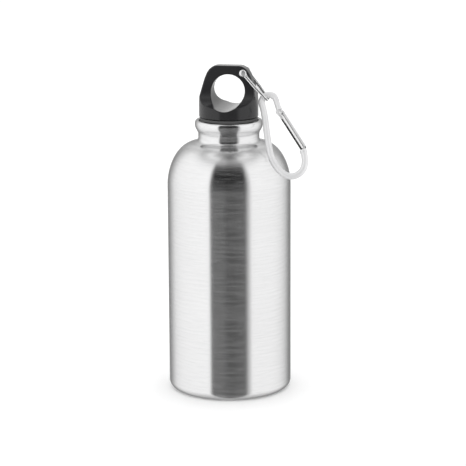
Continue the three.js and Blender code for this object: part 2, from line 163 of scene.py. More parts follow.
def arc(centre_x, centre_y, radius, start, end, steps):
    """Points of an arc between two angles in degrees."""
    angles = np.radians(np.linspace(start, end, steps + 1))
    return [(centre_x + radius * math.cos(a), centre_y + radius * math.sin(a)) for a in angles]


def bezier(start, control, *rest, steps=24):
    """Points of a quadratic or cubic curve after its start."""
    knots = [np.array(p, float) for p in (start, control, *rest)]
    points = []
    for t in np.linspace(0, 1, steps + 1)[1:]:
        level = knots
        while len(level) > 1:
            level = [a + (b - a) * t for a, b in zip(level, level[1:])]
        points.append(tuple(level[0]))
    return points


def line(start, end, steps):
    """Points of a straight line after its start."""
    start, end = np.array(start), np.array(end)
    return [tuple(start + (end - start) * (i + 1) / steps) for i in range(steps)]


def offset_line(points, distance):
    """Moves each point of an open line to its left by the distance."""
    points = np.array(points, float)
    along = np.gradient(points, axis=0)
    along /= np.linalg.norm(along, axis=1)[:, None]
    return points + distance * np.stack([-along[:, 1], along[:, 0]], 1)


def rounded(corners, radius, steps=4):
    """A closed outline with each corner rounded off by the same small radius."""
    corners = np.array(corners, float)
    outline = []
    for i, corner in enumerate(corners):
        before = corners[i - 1] - corner
        after = corners[(i + 1) % len(corners)] - corner
        reach = min(radius, 0.45 * np.linalg.norm(before), 0.45 * np.linalg.norm(after))
        start = corner + before / np.linalg.norm(before) * reach
        end = corner + after / np.linalg.norm(after) * reach
        outline += [tuple(start)] + bezier(start, corner, end, steps=steps)
    return outline


# ---------------------------------------------------------------- meshes


def unmirrored(piece):
    """Switches a piece off in every reflection. A choice of look: real steel would mirror it."""
    piece.visible_glossy = False


def area_normals(points, faces):
    """A normal for each point, in which large faces count for more, so flat faces stay flat."""
    normals = np.zeros_like(points)
    for face in faces:
        a, b, c = points[face[0]], points[face[1]], points[face[2]]
        normal = np.cross(b - a, c - a)
        if len(face) == 4:
            d = points[face[3]]
            normal = np.cross(c - a, d - b)
        for index in face:
            normals[index] += normal
    return normals


def unit(vectors):
    length = np.linalg.norm(vectors, axis=1)
    return vectors / np.maximum(length, 1e-12)[:, None]


def make_piece(name, points, faces, material, body, node, slot, normals=None, place=None):
    """Makes one closed, smooth-shaded piece that rides on a body and stands for a CAD node."""
    points = np.asarray(points, float)
    if normals is None:
        normals = area_normals(points, faces)
    normals = unit(normals)
    if place is not None:
        turn = np.array(place.to_3x3())
        points = points @ turn.T + np.array(place.translation)
        normals = normals @ turn.T
    mesh = bpy.data.meshes.new(name)
    mesh.from_pydata((points * MM).tolist(), [], [list(map(int, face)) for face in faces])
    mesh.shade_smooth()
    mesh.normals_split_custom_set_from_vertices(normals.tolist())
    mesh.materials.append(material)
    piece = bpy.data.objects.new(name, mesh)
    bpy.context.scene.collection.objects.link(piece)
    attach(piece, body)
    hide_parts(node)
    return piece


def revolved(profile, steps, reshape=None):
    """Points and faces of a closed profile of (radius, height) turned about Z.

    A profile whose ends lie on the axis is closed by the axis. reshape(radius, angle, height)
    may move the radii, as a thread does.
    """
    profile = np.array(profile, float)
    on_axis = profile[:, 0] < 1e-6
    angles = np.arange(steps) * 2 * math.pi / steps
    points, rows = [], []
    for (radius, height), axial in zip(profile, on_axis):
        if axial:
            rows.append([len(points)] * steps)
            points.append((0.0, 0.0, height))
            continue
        rows.append(list(range(len(points), len(points) + steps)))
        for angle in angles:
            r = reshape(radius, angle, height) if reshape else radius
            points.append((r * math.cos(angle), r * math.sin(angle), height))
    faces = []
    count = len(rows)
    last = count - 1 if on_axis[0] and on_axis[-1] else count
    for i in range(last):
        lower, upper = rows[i], rows[(i + 1) % count]
        for j in range(steps):
            k = (j + 1) % steps
            face = [lower[j], lower[k], upper[k], upper[j]]
            faces.append(list(dict.fromkeys(face)))
    return np.array(points), faces


# ---------------------------------------------------------------- surfaces from distances
# A rounded shape is given as a function of x, y and z that is negative inside, roughly the distance
# to its surface. A grid finds the surface, each point is moved onto it, and its slope is the normal.


def meet(a, b, radius):
    """What is inside both shapes, with the edge between them rounded."""
    corner = np.hypot(np.maximum(a + radius, 0), np.maximum(b + radius, 0))
    return np.minimum(np.maximum(a, b), -radius) + corner


def join(a, b, radius):
    """What is inside either shape, with a fillet between them."""
    return -meet(-a, -b, radius)


def cut(a, b, radius):
    """The first shape less the second, with a rounded edge."""
    return meet(a, -b, radius)


def slab(value, start, end):
    return np.maximum(start - value, value - end)


def outline_distance(x, y, outline):
    """Distance to a closed outline, negative inside it."""
    nearest = None
    inside = None
    ends = list(outline[1:]) + [outline[0]]
    for (ax, ay), (bx, by) in zip(outline, ends):
        ex, ey = bx - ax, by - ay
        length = ex * ex + ey * ey
        if length < 1e-12:
            continue
        wx, wy = x - ax, y - ay
        along = np.clip((wx * ex + wy * ey) / length, 0, 1)
        square = (wx - along * ex) ** 2 + (wy - along * ey) ** 2
        nearest = square if nearest is None else np.minimum(nearest, square)
        if ey != 0:
            crossing = ((ay <= y) != (by <= y)) & (x < ax + wy * (ex / ey))
            inside = crossing if inside is None else inside ^ crossing
    return np.where(inside, -1, 1) * np.sqrt(nearest)


def line_distance(x, y, points):
    """Distance to an open line, and how far along it the nearest point is."""
    nearest = travelled = None
    start = 0.0
    for (ax, ay), (bx, by) in zip(points, points[1:]):
        ex, ey = bx - ax, by - ay
        length = math.hypot(ex, ey)
        along = np.clip(((x - ax) * ex + (y - ay) * ey) / length**2, 0, 1)
        distance = np.hypot(x - ax - along * ex, y - ay - along * ey)
        if nearest is None:
            nearest, travelled = distance, start + along * length
        else:
            closer = distance < nearest
            nearest = np.where(closer, distance, nearest)
            travelled = np.where(closer, start + along * length, travelled)
        start += length
    return nearest, travelled


def slope(distance, points, step=0.02):
    """How the distance grows along X, Y and Z at each point."""
    result = np.zeros_like(points)
    for axis in range(3):
        nudge = np.zeros(3)
        nudge[axis] = step
        ahead, behind = points + nudge, points - nudge
        result[:, axis] = distance(*ahead.T) - distance(*behind.T)
    return result / (2 * step)


def net(distance, xs, ys, zs):
    """Points and faces of a shape's surface, one point in each grid cell that it passes through."""
    grid = np.broadcast_to(
        distance(xs[:, None, None], ys[None, :, None], zs[None, None, :]),
        (len(xs), len(ys), len(zs)),
    )
    inside = grid < 0
    lines = [xs, ys, zs]
    cells = tuple(n - 1 for n in grid.shape)
    total = np.zeros(cells + (3,))
    count = np.zeros(cells)
    crossings = []
    for axis in range(3):
        first = [slice(None)] * 3
        second = [slice(None)] * 3
        first[axis], second[axis] = slice(None, -1), slice(1, None)
        a, b = grid[tuple(first)], grid[tuple(second)]
        crossed = inside[tuple(first)] != inside[tuple(second)]
        share = np.where(crossed, a / np.where(crossed, a - b, 1), 0)
        place = []
        for other in range(3):
            shape = [1, 1, 1]
            shape[other] = -1
            if other == axis:
                start = lines[other][:-1].reshape(shape)
                place.append(start + share * np.diff(lines[other]).reshape(shape))
            else:
                place.append(np.broadcast_to(lines[other].reshape(shape), crossed.shape))
        others = [i for i in range(3) if i != axis]
        for side in range(4):
            pick = [slice(None)] * 3
            for bit, other in enumerate(others):
                pick[other] = slice(1, None) if side >> bit & 1 else slice(None, -1)
            here = crossed[tuple(pick)]
            count += here
            for i in range(3):
                total[..., i] += np.where(here, place[i][tuple(pick)], 0)
        crossings.append((axis, others, crossed, inside[tuple(first)]))
    filled = count > 0
    index = np.full(cells, -1)
    index[filled] = np.arange(filled.sum())
    points = total[filled] / count[filled][:, None]
    faces = []
    for axis, others, crossed, starts_inside in crossings:
        found = np.argwhere(crossed)
        low_side = starts_inside[tuple(found.T)]
        corners = []
        for shift in ((1, 1), (0, 1), (0, 0), (1, 0)):
            cell = found.copy()
            cell[:, others[0]] -= shift[0]
            cell[:, others[1]] -= shift[1]
            corners.append(index[tuple(cell.T)])
        quads = np.stack(corners, 1)
        forward = low_side if axis != 1 else ~low_side
        faces.append(np.where(forward[:, None], quads, quads[:, ::-1]))
    return points, np.concatenate(faces)


def surface_piece(name, distance, grid, **piece):
    """Makes a piece from a distance function: its net, moved onto the surface, with exact normals."""
    points, faces = net(distance, *grid)
    for _ in range(4):
        gradient = slope(distance, points)
        square = np.maximum((gradient**2).sum(1), 0.05)
        step = distance(*points.T) / square
        step = np.clip(step, -0.3, 0.3)
        points = points - gradient * step[:, None]
    return make_piece(name, points, faces, normals=slope(distance, points), **piece)


def span(start, end, cell):
    return np.linspace(start, end, int(round((end - start) / cell)) + 1)


# ---------------------------------------------------------------- materials


def new_material(name):
    material = bpy.data.materials.new(name)
    material.use_nodes = True
    return material, material.node_tree, material.node_tree.nodes["Principled BSDF"]


def add_node(tree, kind, inputs=None, **settings):
    """Adds a node; an input may be a value or another node's output socket."""
    node = tree.nodes.new(kind)
    for key, value in settings.items():
        setattr(node, key, value)
    for key, value in (inputs or {}).items():
        if isinstance(value, bpy.types.NodeSocket):
            tree.links.new(value, node.inputs[key])
        else:
            node.inputs[key].default_value = value
    return node


def math_node(tree, operation, *values):
    return add_node(tree, "ShaderNodeMath", dict(enumerate(values)), operation=operation).outputs[0]


def weighted(tree, first, first_share, second, second_share):
    """The sum of two values, each multiplied by its share."""
    return math_node(tree, "ADD", math_node(tree, "MULTIPLY", first, first_share),
                     math_node(tree, "MULTIPLY", second, second_share))


def ramp(tree, source, stops):
    """Maps a value to grey levels, or to any level as a grey, through a list of (position, level)."""
    node = add_node(tree, "ShaderNodeValToRGB", {0: source})
    elements = node.color_ramp.elements
    while len(elements) < len(stops):
        elements.new(0.5)
    for element, (position, level) in zip(elements, stops):
        element.position = position
        element.color = (level, level, level, 1)
    return node.outputs["Color"]


def remap(tree, source, low_value, high_value, start=0.0, end=1.0):
    """Stretches the part of a value between start and end to new limits."""
    inputs = {"Value": source, "From Min": start, "From Max": end,
              "To Min": low_value, "To Max": high_value}
    return add_node(tree, "ShaderNodeMapRange", inputs).outputs["Result"]


def noise(tree, vector, scale, detail=2.0, roughness=0.5):
    inputs = {"Vector": vector, "Scale": scale, "Detail": detail, "Roughness": roughness}
    return add_node(tree, "ShaderNodeTexNoise", inputs).outputs["Fac"]


def mix(tree, factor, first, second, blend_type="MIX"):
    """Mixes two colours; each is another node's output socket or three numbers."""
    node = add_node(tree, "ShaderNodeMix", {"Factor": factor}, data_type="RGBA", blend_type=blend_type)
    # A Mix node repeats its socket names, so its colour inputs are found by position.
    for position, color in ((6, first), (7, second)):
        if isinstance(color, bpy.types.NodeSocket):
            tree.links.new(color, node.inputs[position])
        else:
            node.inputs[position].default_value = (*color, 1)
    return node.outputs[2]


def object_place(tree):
    return add_node(tree, "ShaderNodeTexCoord").outputs["Object"]


def bump(tree, height, strength, distance):
    inputs = {"Height": height, "Strength": strength, "Distance": distance}
    return add_node(tree, "ShaderNodeBump", inputs).outputs["Normal"]


def brushed_steel():
    """Stainless steel brushed round the bottle's axis, so its marks are rings."""
    material, tree, shader = new_material("brushed_steel")
    shader.inputs["Anisotropic"].default_value = 0.85
    shader.inputs["Anisotropic Rotation"].default_value = 0.25
    shader.inputs["Specular Tint"].default_value = (0.3, 0.3, 0.3, 1)
    tangent = add_node(tree, "ShaderNodeTangent", direction_type="RADIAL", axis="Z")
    tree.links.new(tangent.outputs[0], shader.inputs["Tangent"])
    place = add_node(tree, "ShaderNodeSeparateXYZ", {0: object_place(tree)})
    x, y, z = place.outputs
    radius = math_node(tree, "SQRT", math_node(tree, "ADD", math_node(tree, "MULTIPLY", x, x),
                                               math_node(tree, "MULTIPLY", y, y)))
    turn = math_node(tree, "ARCTAN2", y, x)
    # A mark runs a few tenths of a radian round the bottle and is a few tenths of a millimetre high.
    streak = add_node(tree, "ShaderNodeCombineXYZ", {
        0: math_node(tree, "MULTIPLY", turn, 2.5),
        1: math_node(tree, "MULTIPLY", z, 1 / MM),
        2: math_node(tree, "MULTIPLY", radius, 1 / MM),
    }).outputs[0]
    fine = noise(tree, streak, 2.2, detail=4)
    broad = noise(tree, streak, 0.8, detail=3)
    cloud = noise(tree, object_place(tree), 40, detail=3)
    marks = weighted(tree, fine, 0.6, broad, 0.4)
    tree.links.new(remap(tree, marks, 0.13, 0.27), shader.inputs["Roughness"])
    shade = weighted(tree, marks, 0.8, cloud, 0.2)
    tree.links.new(mix(tree, shade, (0.76, 0.76, 0.765), (0.96, 0.96, 0.96)), shader.inputs["Base Color"])
    # Dull scratches scatter a little light, which shows most where the steel mirrors something dark.
    tree.links.new(remap(tree, broad, 0.94, 1.0, 0.38, 0.62), shader.inputs["Metallic"])
    tree.links.new(bump(tree, fine, 0.25, 0.00002), shader.inputs["Normal"])
    return material


def place_along(tree, origin, axis):
    """How far a point of the surface lies from an origin along an axis, in millimetres."""
    shifted = add_node(tree, "ShaderNodeVectorMath", {0: object_place(tree), 1: tuple(origin * MM)},
                       operation="SUBTRACT")
    node = add_node(tree, "ShaderNodeVectorMath", {0: shifted.outputs[0], 1: tuple(axis / MM)},
                    operation="DOT_PRODUCT")
    return node.outputs["Value"]


def within(tree, value, start, end):
    """1 where a value lies between two limits, otherwise 0."""
    above = math_node(tree, "GREATER_THAN", value, start)
    return math_node(tree, "MULTIPLY", above, math_node(tree, "LESS_THAN", value, end))


def gate_painted_shade_and_highlight(tree):
    """Painted light on the gate: painted shade inside it and along the fold, a painted highlight on the
    front leg.
    """
    facing = -GATE_AXIS
    depth = place_along(tree, GATE_PIVOT, facing)
    out = place_along(tree, GATE_PIVOT, facing.cross(GATE_ALONG))
    sheet = GATE_HALF_DEPTH - GATE_SHEET / 2
    beyond = 9  # past the end of either leg
    on_leg = math_node(tree, "GREATER_THAN", depth, sheet)
    between = within(tree, depth, -sheet, sheet)
    # Painted shade inside the channel, between the legs.
    inside = math_node(tree, "MULTIPLY", between, within(tree, out, -beyond, GATE_WEB - GATE_SHEET / 2))
    fold_start, fold_end = -0.2, 0.15
    # Painted highlight on the front leg's face.
    leg_highlight = math_node(tree, "MULTIPLY", on_leg, within(tree, out, -beyond, fold_start))
    # Painted shade line along the fold beside the front leg.
    fold_shade = math_node(tree, "MULTIPLY", on_leg, within(tree, out, fold_start, fold_end))
    return [(leg_highlight, 0.97), (fold_shade, 0.25), (inside, 0.04)]


def link_painted_shade(tree):
    """Painted shade on the link's strap: dark in the groove along its middle and at its edges."""
    across = Matrix.Rotation(LINK_DROP, 3, "Y") @ Vector((0, 0, 1))
    along = Matrix.Rotation(LINK_DROP, 3, "Y") @ Vector((1, 0, 0))
    beyond_eye = math_node(tree, "GREATER_THAN", place_along(tree, PIN, along), LINK_EYE_RADIUS + 0.5)
    side = math_node(tree, "ABSOLUTE", place_along(tree, PIN, across))
    groove_half = 0.24
    edge_start = LINK_STRIP_WIDTH * 0.36
    # Painted shade along the middle groove and at the strap's edges.
    groove = math_node(tree, "MULTIPLY", beyond_eye, math_node(tree, "LESS_THAN", side, groove_half))
    edge = math_node(tree, "MULTIPLY", beyond_eye, math_node(tree, "GREATER_THAN", side, edge_start))
    return [(groove, 0.06), (edge, 0.1)]


def polished_metal(name, color, roughness, grain_scale, metallic=1.0, painted_light=None):
    """A bright metal with faint polishing marks and small changes of gloss."""
    material, tree, shader = new_material(name)
    shader.inputs["Metallic"].default_value = metallic
    place = object_place(tree)
    grain = noise(tree, place, grain_scale, detail=4)
    tree.links.new(remap(tree, grain, roughness * 0.7, roughness * 1.35), shader.inputs["Roughness"])
    cloud = noise(tree, place, grain_scale / 12, detail=2)
    surface = mix(tree, cloud, tuple(c * 0.93 for c in color), color)
    # Painted shade and painted highlights, where a piece has them, mixed over its colour.
    for mask, level in painted_light(tree) if painted_light else []:
        surface = mix(tree, mask, surface, (level, level, level))
    tree.links.new(surface, shader.inputs["Base Color"])
    tree.links.new(bump(tree, grain, 0.06, 0.00001), shader.inputs["Normal"])
    return material


def black_plastic():
    """Glossy moulded plastic, with the faint waviness of a moulding and some fine rub marks."""
    material, tree, shader = new_material("black_plastic")
    shader.inputs["IOR"].default_value = 1.42
    place = object_place(tree)
    wave = noise(tree, place, 90, detail=1)
    rub = noise(tree, place, 900, detail=5, roughness=0.65)
    tree.links.new(remap(tree, rub, 0.10, 0.24), shader.inputs["Roughness"])
    color = mix(tree, wave, (0.016, 0.016, 0.017), (0.022, 0.022, 0.023))
    tree.links.new(color, shader.inputs["Base Color"])
    tree.links.new(bump(tree, wave, 0.15, 0.0002), shader.inputs["Normal"])
    return material


def black_rubber():
    material, tree, shader = new_material("black_rubber")
    grain = noise(tree, object_place(tree), 1500, detail=3)
    tree.links.new(remap(tree, grain, 0.55, 0.8), shader.inputs["Roughness"])
    tree.links.new(mix(tree, grain, (0.06, 0.06, 0.06), (0.09, 0.09, 0.09)), shader.inputs["Base Color"])
    tree.links.new(bump(tree, grain, 0.3, 0.00005), shader.inputs["Normal"])
    return material


STEEL = brushed_steel()
POLISHED = polished_metal("polished_steel", (0.82, 0.82, 0.825), 0.14, 1500, metallic=0.75)
# The strap carries painted shade; the gate carries painted shade and a painted highlight.
STRAP = polished_metal("strap_steel", (0.86, 0.86, 0.865), 0.2, 1500, metallic=0.35, painted_light=link_painted_shade)
SPRING = polished_metal("spring_steel", (0.6, 0.6, 0.61), 0.3, 900)
ALUMINIUM = polished_metal("satin_aluminium", (0.72, 0.72, 0.725), 0.4, 2500, metallic=0.3)
GATE_ALUMINIUM = polished_metal("polished_aluminium", (0.72, 0.72, 0.725), 0.3, 2500, metallic=0.4,
                                painted_light=gate_painted_shade_and_highlight)
PLASTIC = black_plastic()
RUBBER = black_rubber()

# ---------------------------------------------------------------- bottle


def bottle_outline(steps):
    """The outside from the foot to the rolled rim's widest place."""
    corner = BODY_RADIUS - BASE_CORNER
    neck_top = (NECK_RADIUS, 136.6)
    shoulder_start = (BODY_RADIUS, SHOULDER_START)
    shoulder_end = (19.4, SHOULDER_END)
    bead = (BEAD_OUTER, BEAD_HEIGHT)
    points = arc(corner, BASE_CORNER, BASE_CORNER, -90, 0, steps // 2)
    points += line(points[-1], shoulder_start, 20)
    points += bezier(shoulder_start, (BODY_RADIUS, 119), (28, 130.5), shoulder_end, steps=steps * 2)
    points += bezier(shoulder_end, (NECK_RADIUS + 0.1, 132.9), (NECK_RADIUS, 135), steps=steps)
    points += line(points[-1], neck_top, 2)
    points += bezier(neck_top, (NECK_RADIUS, 138.8), (BEAD_OUTER, 139.4), bead, steps=steps)
    return points


def make_shell():
    outside = bottle_outline(20)
    inside = [p for p in offset_line(bottle_outline(12), WALL).tolist() if WALL < p[1] < 136.7][::-1]
    neck_inside = NECK_RADIUS - WALL
    crown = (16.6, RIM_TOP)
    bead = bezier(outside[-1], (BEAD_OUTER, BEAD_HEIGHT + 1.3), (17.3, RIM_TOP), crown, steps=14)
    bead += bezier(crown, (neck_inside, RIM_TOP), (neck_inside, RIM_TOP - 0.7), steps=10)
    foot_inner = BODY_RADIUS - BASE_CORNER - FOOT_WIDTH
    profile = [(foot_inner, 0), *outside, *bead, *inside,
               (BODY_RADIUS - BASE_CORNER, WALL), (foot_inner, WALL)]
    points, faces = revolved(profile, 144)
    make_piece("bottle", points, faces, STEEL, "bottle", "bottle_shell", "brushed_steel")


def make_base_disc():
    """A disc with one pressed bead round it; the bead's upper side is a little narrower."""
    middle, crest, foot, lift, thinner = 22, 1.5, 3, 1.2, 0.2
    bottom = [(0, 0), (middle - foot, 0), (middle - crest, lift), (middle + crest, lift),
              (middle + foot, 0), (BASE_DISC_RADIUS, 0)]
    crest, foot = crest - thinner, foot - thinner
    top = [(BASE_DISC_RADIUS, 0), (middle + foot, 0), (middle + crest, lift), (middle - crest, lift),
           (middle - foot, 0), (0, 0)]
    corners = [(r, z + BASE_DISC_BOTTOM) for r, z in bottom]
    corners += [(r, z + BASE_DISC_BOTTOM + WALL) for r, z in top]
    outline = [corners[0]]
    for before, corner, after in zip(corners, corners[1:], corners[2:]):
        start = np.array(corner) + (np.array(before) - corner) * min(0.45, 0.6 / math.dist(before, corner))
        end = np.array(corner) + (np.array(after) - corner) * min(0.45, 0.6 / math.dist(after, corner))
        outline += [tuple(start)] + bezier(start, corner, end, steps=4)
    outline.append(corners[-1])
    points, faces = revolved(outline, 96)
    make_piece("base_disc", points, faces, STEEL, "bottle", "base_plate", "brushed_steel")


def ridge(angle, height, phase, crest_half, base_half):
    """1 on a thread ridge's crest, 0 between ridges."""
    turns = height / THREAD_LEAD - angle / (2 * math.pi) - phase
    distance = np.abs(turns - np.round(turns))
    return np.clip((base_half - distance) / (base_half - crest_half), 0, 1)


def make_thread_ring():
    def reshape(radius, angle, height):
        if radius > RING_ROOT + 0.01:
            return radius
        fade = np.clip(min(height - RING_BOTTOM, RING_THREAD_TOP - height) / THREAD_FADE, 0, 1)
        return radius - THREAD_DEPTH * fade * ridge(angle, height, 0.5, 0.1, 0.22)

    profile = [(RING_OUTER, RING_BOTTOM), (RING_OUTER, RING_TOP), (RING_ROOT, RING_TOP)]
    profile += line((RING_ROOT, RING_TOP), (RING_ROOT, RING_BOTTOM), 48)
    points, faces = revolved(profile, 96, reshape)
    make_piece("neck_thread", points, faces, STEEL, "bottle", "neck_thread_ring", "brushed_steel")


def make_gasket():
    corners = [(GASKET_INNER, GASKET_BOTTOM), (GASKET_OUTER, GASKET_BOTTOM),
               (GASKET_OUTER, GASKET_TOP), (GASKET_INNER, GASKET_TOP)]
    points, faces = revolved(rounded(corners, 0.2), 96)
    make_piece("gasket", points, faces, RUBBER, "seal", "neck_gasket", "black_rubber")


# ---------------------------------------------------------------- cap


def loop_outline():
    """The cap seen from the front: as wide as its base, narrowing to a loop with round shoulders."""

    def side(sign):
        foot = (sign * (CAP_RADIUS + 0.1), PLUG_BOTTOM - 2)
        hip = (sign * (CAP_RADIUS + 0.1), 150.5)
        shoulder = (LOOP_CENTRE + sign * 11.75, 168.1)
        top = (LOOP_CENTRE + sign * 5.6, CAP_TOP)
        points = [foot, hip]
        points += bezier(hip, (LOOP_CENTRE + sign * 15.2, 156), (LOOP_CENTRE + sign * 13.65, 164),
                         shoulder, steps=30)
        points += bezier(shoulder, (LOOP_CENTRE + sign * 10.9, 170.2),
                         (LOOP_CENTRE + sign * 8.9, CAP_TOP), top, steps=24)
        return points

    return side(1) + side(-1)[::-1]


def flare_outline():
    """The cap seen from the side: a thin loop that flares out to the base."""
    reach = CAP_RADIUS + 1.5
    start = (reach, LOOP_FLARE_BOTTOM)
    end = (LOOP_HALF_THICKNESS, LOOP_FLARE_TOP)
    right = [(reach, PLUG_BOTTOM - 2), start]
    right += bezier(start, (9.5, LOOP_FLARE_BOTTOM + 2),
                    (LOOP_HALF_THICKNESS + 1.3, LOOP_FLARE_BOTTOM + 4.3), end, steps=40)
    right.append((LOOP_HALF_THICKNESS, CAP_TOP + 4))
    return right + [(-x, z) for x, z in reversed(right)]


def cap_side():
    """Half of the cap's section through its round base and its threaded plug, solid above the base."""
    ceiling = CAP_BOTTOM + 1.1
    above = CAP_TOP + 5
    return [(-9.1, ceiling), (9.1, ceiling), (PLUG_BORE, ceiling - 1.5), (PLUG_BORE, PLUG_BOTTOM),
            (PLUG_ROOT, PLUG_BOTTOM), (PLUG_ROOT, CAP_BOTTOM), (CAP_RADIUS - CAP_CHAMFER, CAP_BOTTOM),
            (CAP_RADIUS, CAP_BOTTOM + CAP_CHAMFER), (CAP_RADIUS, above), (-9.1, above)]


def make_cap():
    front, depthwise, side = loop_outline(), flare_outline(), cap_side()
    rivet_hole = RIVET_RADIUS + GAP

    def distance(x, y, z):
        radius = np.hypot(x, y)
        fade = np.clip(np.minimum(z - PLUG_BOTTOM, PLUG_THREAD_TOP - z) / THREAD_FADE, 0, 1)
        thread = THREAD_DEPTH * fade * ridge(np.arctan2(y, x), z, 0, 0.1, 0.25)
        threaded = (radius > PLUG_ROOT - 0.8) & (z < PLUG_THREAD_TOP) & (z > PLUG_BOTTOM)
        blank = outline_distance(radius - np.where(threaded, thread, 0), z, side)
        loop = meet(outline_distance(x, z, front), outline_distance(y, z, depthwise), LOOP_EDGE)
        cap = meet(blank, loop, 0.35)
        cap = cut(cap, np.hypot(x - FINGER_HOLE_CENTRE, z - FINGER_HOLE_HEIGHT) - FINGER_HOLE_RADIUS,
                  HOLE_EDGE)
        return cut(cap, np.hypot(x - PIN.x, z - PIN.z) - rivet_hole, 0.15)

    across = span(-CAP_RADIUS - 0.6, CAP_RADIUS + 0.6, 0.36)
    up = np.concatenate([
        span(PLUG_BOTTOM - 0.6, CAP_BOTTOM - 0.4, 0.36),
        span(CAP_BOTTOM - 0.25, CAP_BOTTOM + 2.3, 0.15),
        span(CAP_BOTTOM + 2.65, CAP_TOP + 0.7, 0.35),
    ])
    surface_piece("cap", distance, (across, across, up), material=PLASTIC, body="cap",
                  node="screw_cap", slot="black_plastic")


# ---------------------------------------------------------------- link


def rivet_profile(radius, head_radius, head_height, half_grip):
    """Half of a rivet's section: a shank with a domed head beyond each end of its grip."""
    rise = half_grip + head_height
    edge = (head_radius, half_grip + head_height * 0.3)
    dome = [(head_radius, half_grip + 0.01), edge]
    dome += bezier(edge, (head_radius, half_grip + head_height * 0.75), (head_radius * 0.6, rise), (0, rise),
                   steps=12)
    bottom = [(r, -z) for r, z in reversed(dome)]
    return [*bottom, (radius, -half_grip), (radius, half_grip), *dome]


def make_link_rivet():
    half_grip = LINK_ARM_OFFSET + LINK_STRIP_THICKNESS / 2 + GAP
    profile = rivet_profile(RIVET_RADIUS, RIVET_HEAD_RADIUS, RIVET_HEAD_HEIGHT, half_grip)
    points, faces = revolved(profile, 48)
    place = Matrix.Translation(PIN) @ Matrix.Rotation(math.pi / 2, 4, "X")
    make_piece("rivet", points, faces, POLISHED, "cap", "link_rivet", "polished_steel", place=place)


def link_centreline():
    """The strap's middle line in its own plane, from the rivet round the bend and back."""
    bend = LINK_TO_WIRE + 0.1
    straight = 9
    half = [(-LINK_EYE_RADIUS - 1, LINK_ARM_OFFSET), (straight, LINK_ARM_OFFSET)]
    half += bezier(half[-1], (11.5, LINK_ARM_OFFSET), (bend - 3.5, LINK_BEND_HALF), (bend, LINK_BEND_HALF),
                   steps=14)
    half += bezier(half[-1], (LINK_BEND_END - 0.5, LINK_BEND_HALF), (LINK_BEND_END, LINK_BEND_HALF - 0.9),
                   (LINK_BEND_END, 0), steps=14)
    return half + [(x, -y) for x, y in reversed(half[:-1])]


def make_link():
    middle = link_centreline()
    edge = 0.14

    def distance(x, y, z):
        away, _ = line_distance(x, y, middle)
        half_width = LINK_STRIP_WIDTH / 2 * (1 - LINK_NARROWING * np.maximum(x, 0))
        share = np.minimum(np.abs(z) / half_width, 1)
        groove = 0.1 * np.exp(-((share / 0.2) ** 2))
        crown = np.where(x > LINK_EYE_RADIUS + 0.4, 0.12 * share**3 + groove, 0)
        sheet = away + crown - LINK_STRIP_THICKNESS / 2
        strip = np.maximum(np.abs(z) - half_width, -x)
        eye = np.hypot(x, z) - LINK_EYE_RADIUS
        pattern = join(strip, eye, 0.4)
        pattern = cut(pattern, np.hypot(x, z) - RIVET_RADIUS - RUNNING_GAP, 0.05)
        return meet(sheet, pattern, edge)

    cell = 0.14
    reach = LINK_ARM_OFFSET + 0.6
    grid = (span(-LINK_EYE_RADIUS - 0.4, LINK_BEND_END + 0.6, cell), span(-reach, reach, cell),
            span(-LINK_EYE_RADIUS - 0.3, LINK_EYE_RADIUS + 0.3, cell))
    place = Matrix.Translation(PIN) @ Matrix.Rotation(LINK_DROP, 4, "Y")
    surface_piece("link", distance, grid, material=STRAP, body="link", node="link_strap",
                  slot="polished_steel", place=place)


# ---------------------------------------------------------------- carabiner
# Its own frame: X along it from the link, Y across it towards the gate, the origin at the wire's
# centre inside the link. The gate's frame: X from its pivot to its free end, Y outwards.


def gate_place():
    facing = -GATE_AXIS
    outward = facing.cross(GATE_ALONG)
    place = Matrix((GATE_ALONG, outward, facing)).transposed().to_4x4()
    return Matrix.Translation(GATE_PIVOT) @ place


def carabiner_place():
    hinge = Matrix.Translation((*GATE_HINGE, 0)) @ Matrix.Rotation(GATE_ANGLE, 4, "Z")
    return gate_place() @ hinge.inverted()


def to_gate(x, y):
    """The carabiner's coordinates in the gate's frame."""
    dx, dy = x - GATE_HINGE[0], y - GATE_HINGE[1]
    c, s = math.cos(GATE_ANGLE), math.sin(GATE_ANGLE)
    return dx * c + dy * s, dy * c - dx * s


def wire_line():
    """From the hinge end round the small eye, down the back, and round the wide end to the nose."""
    eye = (4.1, 1.1)
    eye_radius = 3.95
    points = [(10.2, 4.8)]
    points += line(points[0], (eye[0], eye[1] + eye_radius), 6)
    points += arc(*eye, eye_radius, 90, 270, 32)[1:]
    points += bezier(points[-1], (11, -2.85), (20, -5.9), (31, -7.05), steps=30)
    points += bezier(points[-1], (38.5, -7.75), (46.4, -4), (46.4, 1.2), steps=26)
    points += bezier(points[-1], (46.4, 6.2), (42.3, 9.35), (35.4, 9.45), steps=26)
    return points


